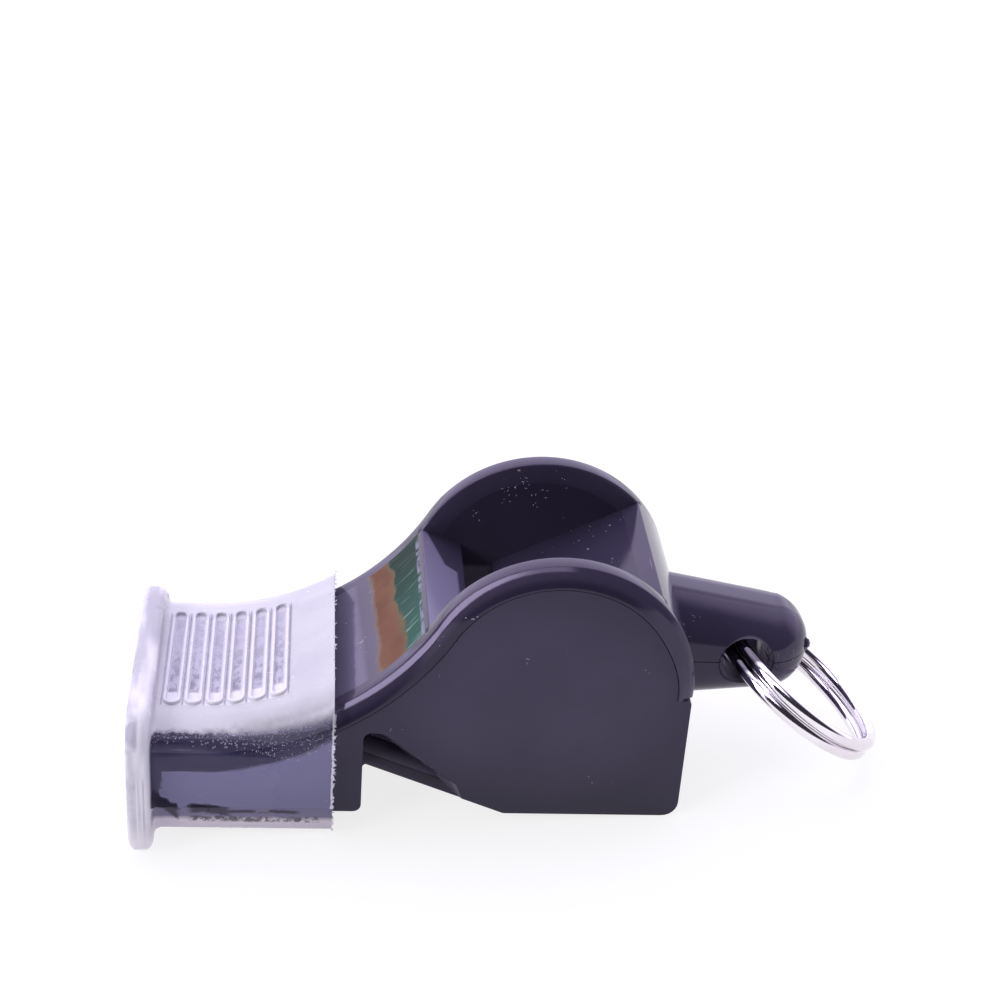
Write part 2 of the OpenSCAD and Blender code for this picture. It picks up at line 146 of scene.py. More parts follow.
def fillet(points, radii, steps=6):
    """Rounds those corners of a polygon that are given a radius."""
    out = []
    for i, point in enumerate(points):
        p = np.array(point, float)
        if i not in radii:
            out.append(tuple(p))
            continue
        a = np.array(points[i - 1], float) - p
        b = np.array(points[(i + 1) % len(points)], float) - p
        a, b = a / np.linalg.norm(a), b / np.linalg.norm(b)
        half = math.acos(max(-1, min(1, float(a @ b)))) / 2
        run = radii[i] / math.tan(half)
        centre = p + (a + b) / np.linalg.norm(a + b) * radii[i] / math.sin(half)
        s, e = p + a * run - centre, p + b * run - centre
        t0, t1 = math.atan2(s[1], s[0]), math.atan2(e[1], e[0])
        turn = (t1 - t0 + math.pi) % (2 * math.pi) - math.pi
        out += arc(centre, radii[i], math.degrees(t0), math.degrees(t0 + turn), steps + 1)
    return out


def prism(points, y0, y1):
    """An outline in X and Z drawn out along Y."""
    n = len(points)
    verts = [(x, y0, z) for x, z in points] + [(x, y1, z) for x, z in points]
    faces = [list(range(n)), [n + i for i in reversed(range(n))]]
    faces += [[i, (i + 1) % n, n + (i + 1) % n, n + i] for i in range(n)]
    return verts, faces


def rings(stack, closed_path=False):
    """A skin over rings with equal numbers of points; its ends are shut unless the path is closed."""
    s, n = len(stack), len(stack[0])
    verts = [tuple(p) for ring in stack for p in ring]
    faces = []
    for i in range(s if closed_path else s - 1):
        j = (i + 1) % s
        faces += [[i * n + k, i * n + (k + 1) % n, j * n + (k + 1) % n, j * n + k] for k in range(n)]
    if not closed_path:
        faces.append(list(reversed(range(n))))
        faces.append([(s - 1) * n + k for k in range(n)])
    return verts, faces


def gather(parts):
    """Joins several lists of corners and faces into one."""
    verts, faces = [], []
    for v, f in parts:
        b = len(verts)
        verts += list(v)
        faces += [[b + i for i in face] for face in f]
    return verts, faces


def grain(spot, ahead, behind, aside, above, below):
    """A small pointed grain: four corners round a spot, one above it and one below."""
    verts = [tuple(spot + way) for way in (ahead, aside, behind, -aside, above, below)]
    faces = [[i, (i + 1) % 4, 4] for i in range(4)] + [[(i + 1) % 4, i, 5] for i in range(4)]
    return verts, faces


def carve(name, solid, cutters):
    """The solid with the cutters taken away."""
    objs = []
    for k, shape in enumerate([solid] + cutters):
        mesh = bpy.data.meshes.new(f"{name}_{k}")
        bm = open_mesh(*shape)
        bm.to_mesh(mesh)
        bm.free()
        obj = bpy.data.objects.new(f"{name}_{k}", mesh)
        bpy.context.scene.collection.objects.link(obj)
        objs.append(obj)
    for c in objs[1:]:
        mod = objs[0].modifiers.new("cut", "BOOLEAN")
        mod.operation, mod.solver, mod.object = "DIFFERENCE", "EXACT", c
    bpy.context.view_layer.update()
    graph = bpy.context.evaluated_depsgraph_get()
    mesh = bpy.data.meshes.new_from_object(objs[0].evaluated_get(graph))
    verts = [tuple(v.co) for v in mesh.vertices]
    faces = [list(p.vertices) for p in mesh.polygons]
    for o in objs:
        old = o.data
        bpy.data.objects.remove(o)
        bpy.data.meshes.remove(old)
    bpy.data.meshes.remove(mesh)
    return verts, faces


def soften(verts, faces, keep, size, segments=3, angle=25.0):
    """Bevels the sharp edges for which keep(a, b) holds."""
    bm = open_mesh(verts, faces)
    bm.edges.ensure_lookup_table()
    picked = [
        e for e in bm.edges
        if len(e.link_faces) == 2 and e.calc_face_angle(0) > math.radians(angle)
        and keep(e.verts[0].co, e.verts[1].co)
    ]
    bmesh.ops.bevel(bm, geom=picked, offset=size, offset_type="OFFSET", segments=segments, profile=0.5,
                    affect="EDGES", clamp_overlap=True)
    return close_mesh(bm)


def halves(verts, faces, level, gap):
    """The parts of a closed mesh above and below a level, each closed again."""
    out = []
    for sign in (1, -1):
        bm = open_mesh(verts, faces)
        cut = bmesh.ops.bisect_plane(bm, geom=bm.verts[:] + bm.edges[:] + bm.faces[:], dist=1e-5,
                                     plane_co=(0, 0, level + sign * gap / 2), plane_no=(0, 0, -sign),
                                     clear_outer=True)
        edges = [e for e in cut["geom_cut"] if isinstance(e, bmesh.types.BMEdge)]
        bmesh.ops.contextual_create(bm, geom=edges)
        bmesh.ops.triangle_fill(bm, edges=[e for e in bm.edges if e.is_boundary], use_beauty=True)
        out.append(close_mesh(bm))
    return out


def top_curve():
    """Points of the body's upper outline with their outward directions, from the mouth to the tail."""
    out = [((x, MOUTH_TOP), (0.0, 1.0)) for x in np.linspace(MOUTH, RAMP[0], 6)[:-1]]
    for a in np.radians(np.linspace(-90, INFLECT - 180, 61))[:-1]:
        c, s = math.cos(a), math.sin(a)
        out.append(((RAMP[0] + RAMP_R * c, RAMP[1] + RAMP_R * s), (-c, -s)))
    for a in np.radians(np.linspace(INFLECT, TAIL_END, 121)):
        c, s = math.cos(a), math.sin(a)
        out.append(((ARCH[0] + ARCH_R * c, ARCH[1] + ARCH_R * s), (c, s)))
    return out


CURVE = top_curve()

# materials


class Nodes:
    """A short way to write a node tree. Values are numbers, colours, sockets or nodes."""

    def __init__(self, tree, output):
        self.tree = tree
        tree.nodes.clear()
        self.out = self.new(output)

    def new(self, kind, **values):
        """A node; a value's name is a property's or a socket's, with _ for each space."""
        node = self.tree.nodes.new("ShaderNode" + kind)
        for k, v in values.items():
            if hasattr(node, k):
                setattr(node, k, v)
            else:
                self.put(node.inputs[k.replace("_", " ")], v)
        return node

    def put(self, socket, value):
        if isinstance(value, bpy.types.NodeSocket):
            self.tree.links.new(value, socket)
        elif hasattr(value, "outputs"):
            self.tree.links.new(value.outputs[0], socket)
        elif isinstance(value, tuple) and socket.type == "RGBA":
            socket.default_value = (*value, 1)
        else:
            socket.default_value = value

    def fill(self, node, *values):
        """Puts values on a node's first sockets in turn."""
        for socket, value in zip(node.inputs, values):
            self.put(socket, value)
        return node

    def end(self, shader):
        self.put(self.out.inputs[0], shader)

    def math(self, op, *args, clamp=False):
        return self.fill(self.new("Math", operation=op, use_clamp=clamp), *args).outputs[0]

    def chain(self, op, values):
        out = values[0]
        for v in values[1:]:
            out = self.math(op, out, v)
        return out

    def times(self, *values):
        return self.chain("MULTIPLY", values)

    def plus(self, *values):
        return self.chain("ADD", values)

    def most(self, *values):
        return self.chain("MAXIMUM", values)

    def minus(self, a, b):
        return self.math("SUBTRACT", a, b)

    def absolute(self, value):
        return self.math("ABSOLUTE", value)

    def square(self, value):
        return self.math("POWER", value, 2.0)

    def centred(self, value, amount):
        """A noise value brought to lie about zero."""
        return self.times(self.minus(value, 0.5), amount)

    def smooth(self, value, low, high, out_low=0.0, out_high=1.0):
        """Rises softly between two values, or falls when the first is the greater."""
        node = self.new("MapRange", interpolation_type="SMOOTHSTEP")
        return self.fill(node, value, low, high, out_low, out_high).outputs[0]

    def between(self, value, low, high, soft):
        """1 between two values and 0 outside them."""
        rise = self.smooth(value, low - soft, low + soft)
        return self.times(rise, self.smooth(value, high + soft, high - soft))

    def mix(self, factor, a, b):
        node = self.new("Mix", data_type="RGBA")
        for k, v in ((0, factor), (6, a), (7, b)):
            self.put(node.inputs[k], v)
        return node.outputs[2]

    def mix_value(self, factor, a, b):
        node = self.new("Mix")
        for k, v in ((0, factor), (2, a), (3, b)):
            self.put(node.inputs[k], v)
        return node.outputs[0]

    def tint(self, base, colour, *amounts):
        """Lays a colour over a base by the product of the amounts."""
        return self.mix(self.times(*amounts), base, colour)

    def noise(self, vector, scale, detail=3.0, rough=0.55):
        return self.new("TexNoise", Vector=vector, Scale=scale, Detail=detail, Roughness=rough).outputs[0]

    def split(self, vector):
        return self.new("SeparateXYZ", Vector=vector).outputs[:]

    def place(self):
        """Object coordinates as a vector in metres, and X, Y and Z in millimetres."""
        vector = self.new("TexCoord").outputs["Object"]
        return vector, *(self.times(c, 1 / MM) for c in self.split(vector))

    def stretch(self, vector, scale, turn=(0, 0, 0)):
        turn = tuple(map(math.radians, turn))
        return self.new("Mapping", Vector=vector, Scale=scale, Rotation=turn).outputs[0]

    def bump(self, height, distance, strength, normal=None):
        """The distance is in metres."""
        node = self.new("Bump", Height=height, Distance=distance, Strength=strength)
        if normal is not None:
            self.put(node.inputs["Normal"], normal)
        return node.outputs[0]

    def specks(self, vector, scale, size, low, high):
        """Sparse round specks of dust: 1 on a speck and 0 elsewhere."""
        dots = self.new("TexVoronoi", Vector=vector, Scale=scale).outputs["Distance"]
        gate = self.smooth(self.noise(vector, scale * 0.2, 2), low, high)
        return self.times(self.smooth(dots, size * 1.6, size), gate)


def new_material(name):
    mat = bpy.data.materials.new(name)
    mat.use_nodes = True
    return mat, Nodes(mat.node_tree, "OutputMaterial")


SHELL_LEVEL = 0.32
SHELL_TINT = (0.92, 0.86, 1.0)
# pale colour for painted light in the outlets and the hollow
PALE_PAINTED_LIGHT = (0.20, 0.18, 0.25)


def scratches(n, vec):
    """Fine scratches from handling, in two directions and in patches."""
    found = []
    for scale, turn, patches, limit in (((60, 60, 2600), (0, 38, 12), 150, 0.50),
                                        ((2400, 60, 60), (0, 20, 30), 110, 0.52)):
        lines = n.smooth(n.noise(n.stretch(vec, scale, turn), 1, 2), 0.75, 0.765)
        found.append(n.times(lines, n.smooth(n.noise(vec, patches, 1), limit, limit + 0.1)))
    return n.most(*found)


def painted_sheen_face(n, x, y, cloud):
    """Where a painted reflection makes the face behind the lip paler, which is least towards the far cheek.
    """
    limit = n.mix_value(n.smooth(y, 2.4, 3.2), -7.35, n.minus(-7.40, n.times(y, 0.30)))
    past = n.minus(n.plus(x, n.centred(cloud, 0.8)), limit)
    return n.times(n.smooth(past, 0.18, -0.12), n.smooth(x, -10.10, -9.95))


def worn_bands(n, vec, x, y, fine):
    """Where the two worn bands lie across the ramp, just in front of the lip, and their colours."""
    wave = n.plus(n.centred(n.noise(vec, 240, 3, 0.5), 1.0), n.centred(n.noise(vec, 900, 5, 0.7), 0.5))
    front = n.minus(n.plus(x, n.times(y, 0.05)), wave)
    middle = n.minus(n.plus(x, n.times(y, 0.06)), n.centred(n.noise(vec, 300, 5, 0.65), 1.8))
    rear = n.minus(x, n.times(wave, 0.3))
    cover = n.times(n.smooth(front, -14.25, -13.95), n.smooth(rear, -10.34, -10.48),
                    n.smooth(n.absolute(y), 8.0, 7.8))
    brown = n.mix(n.smooth(n.noise(vec, 350, 4), 0.3, 0.7), (0.125, 0.052, 0.020), (0.165, 0.074, 0.032))
    brown = n.tint(brown, (0.20, 0.19, 0.17), n.smooth(front, -13.65, -14.00), 0.55)
    brown = n.tint(brown, (0.11, 0.12, 0.050), n.smooth(middle, -12.6, -12.0), 0.55)
    green = n.mix(n.smooth(y, 7.0, -7.0), (0.001, 0.018, 0.006), (0.016, 0.080, 0.050))
    rub = n.smooth(n.noise(n.stretch(vec, (300, 3200, 300), (0, 0, 38)), 1, 3, 0.6), 0.58, 0.66)
    green = n.tint(green, (0.19, 0.30, 0.25), rub, n.smooth(y, 6.0, -4.0, 0.2, 1.0), 0.8)
    paint = n.mix(n.smooth(middle, -12.12, -11.88), brown, green)
    worn_lip = n.times(n.smooth(x, -10.66, -10.56), n.smooth(fine, 0.40, 0.55))
    return cover, n.tint(paint, (0.30, 0.31, 0.40), worn_lip, 0.7)


def shell_material(name, upper_half):
    """Dark moulded plastic with a faint grain, handling marks and dust, and painted light and shade in
    places.
    """
    mat, n = new_material(name)
    vec, x, y, z = n.place()
    cloud = n.noise(vec, 90, 4)
    fine = n.noise(vec, 1400, 3)
    across = n.absolute(y)
    base = n.mix(n.smooth(cloud, 0.35, 0.7), (0.048, 0.040, 0.073), (0.060, 0.050, 0.088))
    rough = n.smooth(n.noise(vec, 260, 4, 0.6), 0.3, 0.75, 0.07, 0.13)
    # the wall of the lug's hole is worn pale by the ring
    bore = n.plus(n.square(n.minus(x, HOLE[0])), n.square(n.minus(z, HOLE[1])))
    worn = n.smooth(bore, (HOLE_R + 0.38) ** 2, (HOLE_R + 0.08) ** 2)
    base = n.tint(base, (0.26, 0.24, 0.31), worn, 0.8)
    if upper_half:
        # painted shade: the rim's outer band is darkened under the arch and along the ramp
        band = n.times(n.smooth(across, 9.6, 9.9), n.smooth(x, 8.5, 4.5))
        base = n.tint(base, (0.020, 0.016, 0.034), band, 0.8)
    else:
        # painted shade: the side plates are darkened away from their middle, so they are palest there
        aside = n.plus(n.square(n.plus(x, 1.0)), n.square(n.times(n.minus(z, 10.8), 1.25)))
        aside = n.times(n.smooth(aside, 5.0 ** 2, 13.0 ** 2), n.smooth(x, 11.2, 10.6))
        base = n.tint(base, (0.030, 0.026, 0.052), aside, 0.85)
        # painted light in the throats of the air outlets and on the hollow's walls
        throat = n.times(n.smooth(across, 9.0, 8.8), n.smooth(z, 13.2, 12.6), n.smooth(x, -2.0, -2.4))
        base = n.tint(base, PALE_PAINTED_LIGHT, throat, 0.9)
    # painted light on the outlets' bevelled mouths
    bevel = n.times(n.smooth(across, 8.9, 9.1), n.smooth(across, 9.88, 9.86))
    base = n.tint(base, (0.13, 0.12, 0.15), bevel, n.smooth(x, -6.2, -6.6), n.smooth(z, 8.4, 8.0), 0.7)
    if upper_half:
        face_up = n.smooth(n.split(n.new("NewGeometry").outputs["Normal"])[2], 0.2, 0.3)
        inner = n.times(n.smooth(across, CHEEK_IN + 0.2, CHEEK_IN), face_up)
        # painted reflection: the face behind the lip is made paler, and a little rougher
        painted_sheen = n.times(painted_sheen_face(n, x, y, cloud), inner)
        base = n.mix(painted_sheen, base, (0.205, 0.188, 0.290))
        # painted light on the ramp near the grip
        painted_ramp_light = n.smooth(n.plus(x, n.times(y, 0.05)), -14.80, -15.40)
        base = n.tint(base, (0.118, 0.104, 0.170), painted_ramp_light, inner)
        cover, paint = worn_bands(n, vec, x, y, fine)
        cover = n.times(cover, face_up)
        base = n.mix(cover, base, paint)
        rough = n.plus(rough, n.times(cover, 0.62), n.times(painted_sheen, 0.12))
    dirt = n.most(n.times(n.specks(vec, 1100, 0.04, 0.60, 0.68), 0.85), n.times(scratches(n, vec), 0.45))
    base = n.mix(dirt, base, (0.62, 0.60, 0.68))
    relief = n.bump(cloud, 0.00012, 0.25, n.bump(fine, 0.00001, 0.35))
    n.end(n.new("BsdfPrincipled", Base_Color=base, Roughness=rough, IOR=1.5, Normal=relief,
                Specular_IOR_Level=SHELL_LEVEL, Specular_Tint=SHELL_TINT))
    return mat


def core_material():
    """The same plastic inside, with a little dust."""
    mat, n = new_material("inner_plastic")
    vec, x, y, z = n.place()
    base = n.mix(n.smooth(n.noise(vec, 140, 4), 0.3, 0.7), (0.036, 0.030, 0.058), (0.045, 0.037, 0.070))
    base = n.mix(n.specks(vec, 1200, 0.05, 0.54, 0.62), base, (0.55, 0.53, 0.60))
    # painted light near the air outlets low in the cheeks
    base = n.tint(base, PALE_PAINTED_LIGHT, n.smooth(z, 13.2, 12.6), n.smooth(x, -2.0, -2.4), 0.9)
    rough = n.smooth(n.noise(vec, 300, 3), 0.3, 0.7, 0.09, 0.16)
    relief = n.bump(n.noise(vec, 900, 3), 0.00002, 0.3)
    n.end(n.new("BsdfPrincipled", Base_Color=base, Roughness=rough, IOR=1.5, Normal=relief,
                Specular_IOR_Level=SHELL_LEVEL, Specular_Tint=SHELL_TINT))
    return mat


def contact_marks(n, vec, x, z, soft, fine, calm, torn):
    """Dark marks low on the sleeve's sides: two blots and a thin streak, and rough spots below them."""
    patchy = n.noise(n.stretch(vec, (500, 500, 900)), 1, 4, 0.65)
    warp = n.plus(z, n.centred(soft, 0.8), n.centred(fine, 0.3))
    slant = n.plus(warp, n.times(n.plus(torn, 30.5), 0.75))
    blot_a = n.times(n.between(slant, 0.75, 1.85, 0.15), n.between(torn, -31.8, -29.25, 0.15))
    lifted = n.minus(warp, n.smooth(x, -27.0, -25.0, 0.0, -0.25))
    blot_b = n.times(n.between(lifted, 0.40, 1.22, 0.14), n.between(torn, -28.6, -25.2, 0.35))
    streak = n.times(n.between(calm, 0.46, 0.76, 0.10), n.between(x, -25.8, -19.9, 0.4),
                     n.smooth(patchy, 0.34, 0.48))
    spots = n.times(n.between(n.plus(z, n.centred(fine, 0.3)), -0.36, 0.14, 0.10),
                    n.between(x, -28.4, -18.3, 0.3), n.smooth(n.noise(vec, 2600, 3, 0.7), 0.40, 0.56))
    return n.most(blot_a, blot_b, streak), spots


def side_scratches(n, vec, x, z, fine):
    """Light scratches along the sleeve's side: heights, wobble, ends and their softness, and strength."""
    found = []
    for low, high, wobble, start, end, soft, strength in ((2.075, 2.14, 0.08, -29.5, -25.8, 0.2, 1.0),
                                                          (1.79, 1.85, 0.08, -19.6, -17.4, 0.2, 1.0),
                                                          (5.48, 5.53, 0.06, -31.2, -26.6, 0.3, 0.5)):
        line = n.between(n.plus(z, n.centred(fine, wobble)), low, high, 0.02)
        found.append(n.times(line, n.between(x, start, end, soft), strength))
    return n.times(n.most(*found), n.smooth(n.noise(vec, 1300, 2), 0.40, 0.56))


def loop_tones(n, vec, x, y, fine, base):
    """Greyer inside the loops and in the gaps between them, and paler on their lines and near ends."""
    place = n.math("DIVIDE", n.minus(x, MOUTH + LOOP_START), LOOP_PITCH)
    off = n.times(n.absolute(n.minus(place, n.math("ROUND", place))), LOOP_PITCH)
    row = n.between(place, -0.52, LOOPS - 0.48, 0.03)
    flecks = n.noise(n.stretch(vec, (1500, 900, 900)), 1, 4, 0.75)
    flecked = n.times(n.smooth(flecks, 0.40, 0.60), n.smooth(y, 4.0, -4.5, 0.35, 1.0))
    tone = n.mix(flecked, (0.54, 0.53, 0.63), (0.26, 0.25, 0.34))
    hollow = n.between(n.plus(y, n.centred(fine, 0.5)), -5.15, 5.9, 0.15)
    base = n.tint(base, tone, n.smooth(off, 0.40, 0.28), hollow, row, 0.92)
    span = n.times(n.smooth(n.absolute(y), 7.2, 6.7), row)
    width = n.smooth(off, 0.76, 0.70)
    base = n.tint(base, (0.86, 0.855, 0.91), n.smooth(off, 0.36, 0.44), width, span, 0.85)
    gap = n.times(n.smooth(off, 0.74, 0.80), span)
    base = n.tint(base, (0.36, 0.35, 0.43), gap, n.smooth(flecks, 0.3, 0.6, 0.5, 0.95))
    base = n.tint(base, (0.87, 0.865, 0.92), width, row, n.between(y, -7.05, -5.25, 0.08), 0.85)
    return n.tint(base, (0.58, 0.57, 0.66), width, row, n.between(y, 5.9, 7.05, 0.15), 0.5)


def flange_tones(n, x, y, z, streaks, soft, fine):
    """Pale streaks, thin double lines of painted highlight low on the rim with painted shade between them, a
    painted highlight at the rear edge, a greyer near corner and a warm foot.
    """
    tone = n.mix(n.smooth(streaks, 0.34, 0.62), (0.62, 0.61, 0.68), (0.97, 0.96, 0.99))
    corner = n.times(n.smooth(y, -7.5, -9.5), n.between(z, 3.6, 9.6, 0.8), n.smooth(x, -32.2, -32.5))
    tone = n.tint(tone, (0.46, 0.44, 0.54), corner, n.smooth(soft, 0.42, 0.60, 0.0, 0.8))
    low = n.smooth(z, 5.5, 4.0)
    # painted highlights: thin pale lines low on the flange's rim, with a painted shade line between them
    thread = n.math("PINGPONG", n.minus(x, -32.45), 0.20)
    lines = n.times(n.smooth(thread, 0.09, 0.05), n.between(x, -32.5, -31.6, 0.03))
    tone = n.tint(tone, (0.93, 0.92, 0.96), lines, low, 0.9)
    shade = n.between(n.plus(x, n.centred(fine, 0.1)), -32.0, -31.85, 0.03)
    tone = n.tint(tone, (0.40, 0.37, 0.46), shade, low, 0.5)
    # painted highlight along the flange's rear edge
    bright = n.times(n.smooth(x, -31.66, -31.56), n.smooth(z, 0.5, 2.0), n.smooth(z, 7.5, 5.5, 0.1, 1.0))
    tone = n.mix(bright, tone, (0.90, 0.895, 0.90))
    return n.tint(tone, (1.0, 0.95, 0.98), n.smooth(z, 0.4, -1.6), 0.9)


def grip_material():
    """Clear soft vinyl: milky above and on its flange, clear where its sides cling to the mouthpiece."""
    mat, n = new_material("clear_soft_vinyl")
    vec, x, y, z = n.place()
    cloud = n.noise(vec, 160, 4, 0.6)
    fine = n.noise(vec, 1500, 4, 0.7)
    soft = n.noise(vec, 420, 3, 0.6)
    flange = n.smooth(x, -31.36, -31.45)
    sleeve = n.minus(1.0, flange)
    # painted highlight along the sleeve's rear edge, where the vinyl is made nearly opaque and pale
    tail = n.smooth(n.plus(x, n.centred(fine, 0.35)), -17.38, -17.30)
    # the borders on the sides rise along the hollow curve of the body and grow softer towards the rear
    run = n.most(n.minus(x, RAMP[0]), 0.0)
    rise = n.times(run, run)
    blur = n.smooth(x, -29.0, -18.0, 0.22, 0.95)
    above = n.minus(n.plus(z, n.centred(fine, 0.55)), n.plus(n.times(rise, 0.0200), 7.42))
    above = n.math("DIVIDE", above, blur)
    white = n.smooth(above, -1.3, 1.0)
    # powder under the white border, grain by grain
    grains = n.new("TexVoronoi", Vector=vec, Scale=6500)
    chance = n.new("SeparateColor", Color=grains.outputs["Color"])
    density = n.smooth(n.plus(above, n.centred(soft, 1.6)), -4.2, -0.4, 0.0, 0.62)
    powder = n.times(n.smooth(grains.outputs["Distance"], 0.44, 0.22),
                     n.smooth(n.minus(density, chance.outputs[0]), 0.0, 0.04))
    # below it the vinyl clings to the body in a dark zone, and lower down it is grey
    calm = n.plus(z, n.centred(soft, 0.35))
    torn = n.plus(x, n.centred(soft, 1.6), n.centred(fine, 0.5))
    grey = n.minus(calm, n.plus(n.times(rise, 0.0303), 4.45))
    grey = n.smooth(grey, n.times(blur, 0.5), n.times(blur, -0.7))
    grey = n.times(grey, n.smooth(torn, -30.95, -30.65))
    clear = n.minus(1.0, grey)
    step = n.times(n.smooth(n.plus(z, n.centred(soft, 0.2)), 5.95, 5.70), n.smooth(x, -21.0, -24.0))
    wet = n.times(clear, n.smooth(above, -0.6, -1.6), n.smooth(step, 1.0, 0.0, 0.55, 1.0),
                  n.smooth(above, -5.5, -3.0, 0.55, 1.0), n.smooth(x, -23.5, -18.0, 1.0, 0.35))
    blots, spots = contact_marks(n, vec, x, z, soft, fine, calm, torn)
    bottom = n.smooth(calm, 0.22, -0.22)
    # below the body's lower edge the vinyl still shows the body's side
    foot = n.between(z, -0.1, 0.98, 0.06)
    # how much of the vinyl shows
    level = n.plus(n.smooth(grey, 0.0, 1.0, 0.09, 0.47), n.times(step, clear, 0.07))
    level = n.most(level, n.times(bottom, 0.86), n.times(foot, 0.93))
    level = n.mix_value(n.times(blots, n.minus(1.0, foot)), level, 0.08)
    level = n.mix_value(n.times(spots, 0.9), level, 0.78)
    level = n.most(level, n.times(side_scratches(n, vec, x, z, fine), 0.6), n.times(wet, 0.42),
                   n.times(powder, 0.40), n.times(white, 0.94), n.times(tail, 0.92))
    streaks = n.noise(n.stretch(vec, (600, 120, 90)), 1, 2, 0.5)
    thin = n.smooth(z, 0.6, -1.4, 1.0, 0.70)
    level = n.mix_value(flange, level, n.times(n.smooth(streaks, 0.3, 0.7, 0.76, 0.93), thin))
    milk = n.new("Attribute", attribute_name="milk").outputs["Fac"]
    level = n.math("MULTIPLY", level, milk, clamp=True)
    # colour: white on top, bluer where it is thin over the dark plastic
    base = n.mix(n.smooth(cloud, 0.3, 0.75), (0.67, 0.67, 0.70), (0.60, 0.59, 0.64))
    base = n.mix(n.smooth(z, 8.4, 7.0), base, (0.92, 0.91, 0.99))
    bare = n.times(n.smooth(powder, 0.5, 0.1), n.smooth(tail, 0.4, 0.1))
    base = n.tint(base, (0.46, 0.445, 0.72), n.smooth(white, 0.6, 0.1), bare)
    base = n.tint(base, (0.042, 0.042, 0.120), wet, bare)
    base = loop_tones(n, vec, x, y, fine, base)
    # a dark line along the far edge, and pale flecks near the rear
    base = n.tint(base, (0.22, 0.21, 0.28), n.between(y, 9.5, 10.5, 0.15), white, 0.9)
    flecks = n.times(n.specks(vec, 1000, 0.07, 0.50, 0.60), n.between(x, -23.0, -17.6, 0.8))
    base = n.tint(base, (0.96, 0.96, 0.98), flecks, white, 0.7)
    base = n.mix(flange, base, flange_tones(n, x, y, z, streaks, soft, fine))
    base = n.tint(base, (0.215, 0.195, 0.310), foot, sleeve)
    base = n.tint(base, (0.92, 0.85, 0.90), bottom, sleeve, 0.9)
    base = n.tint(base, (0.030, 0.024, 0.045), n.most(n.times(blots, 0.9), n.times(spots, 0.85)), sleeve)
    rough = n.smooth(cloud, 0.3, 0.7, 0.22, 0.38)
    relief = n.bump(n.noise(vec, 700, 4, 0.65), 0.00003, 0.06)
    n.end(n.new("BsdfPrincipled", Base_Color=base, Roughness=rough, IOR=1.45, Alpha=level, Normal=relief,
                Specular_IOR_Level=0.4))
    return mat


def chrome_material():
    """Bright plated steel with a faint drawn grain, some tarnish, and painted shade inside the lug's hole."""
    mat, n = new_material("plated_steel")
    vec, x, y, z = n.place()
    base = n.mix(n.smooth(n.noise(vec, 260, 4), 0.35, 0.75), (0.86, 0.83, 0.87), (0.74, 0.69, 0.74))
    rough = n.smooth(n.noise(vec, 600, 4), 0.3, 0.7, 0.05, 0.14)
    # painted shade on the wire where it lies in and near the lug's hole
    reach = n.plus(n.absolute(y), n.centred(n.noise(vec, 500, 2), 0.6))
    base = n.tint(base, (0.05, 0.045, 0.06), n.smooth(reach, 5.8, 5.2), n.smooth(x, 19.5, 18.5), 0.93)
    n.end(n.new("BsdfPrincipled", Base_Color=base, Roughness=rough, Metallic=1.0,
                Normal=n.bump(n.noise(vec, 1100, 3), 0.00001, 0.3)))
    return mat


def dust_material():
    """Pale dust of uneven tone."""
    mat, n = new_material("dust_and_scratches")
    vec = n.new("TexCoord").outputs["Object"]
    base = n.mix(n.noise(vec, 2500, 2), (0.42, 0.40, 0.48), (0.85, 0.83, 0.92))
    n.end(n.new("BsdfPrincipled", Base_Color=base, Roughness=0.7,
                Normal=n.bump(n.noise(vec, 3000, 2), 0.00001, 0.4)))
    return mat


def floor_material():
    """Plain pale floor that the camera and reflections see as white, with the object's shadow."""
    mat, n = new_material("floor_white")
    path = n.new("LightPath").outputs
    tone = n.mix(n.noise(n.new("TexCoord").outputs["Object"], 60, 3), (0.93, 0.93, 0.94), (0.96, 0.96, 0.965))
    glow = n.fill(n.new("AddShader"), n.new("BsdfDiffuse", Color=(0.25, 0.25, 0.255)),
                  n.new("Emission", Color=(1.0, 1.0, 1.0), Strength=0.80))
    seen = n.most(path["Is Camera Ray"], path["Is Glossy Ray"], path["Is Transmission Ray"])
    n.end(n.fill(n.new("MixShader"), seen, n.new("BsdfDiffuse", Color=tone), glow))
    return mat


SHELL_UP = shell_material("dark_plastic_with_worn_bands", True)
SHELL_LOW = shell_material("dark_plastic", False)
CORE = core_material()
GRIP = grip_material()
CHROME = chrome_material()
DUST = dust_material()

# upper shell


def band_at(p):
    """Width of the rim's outer band at a point of the outline; it narrows towards the tail."""
    angle = math.degrees(math.atan2(p[1] - ARCH[1], p[0] - ARCH[0]))
    t = min(1.0, max(0.0, (34.0 - angle) / 36.0)) if p[0] > 0 else 0.0
    return BAND - 0.34 * t * t * (3 - 2 * t)


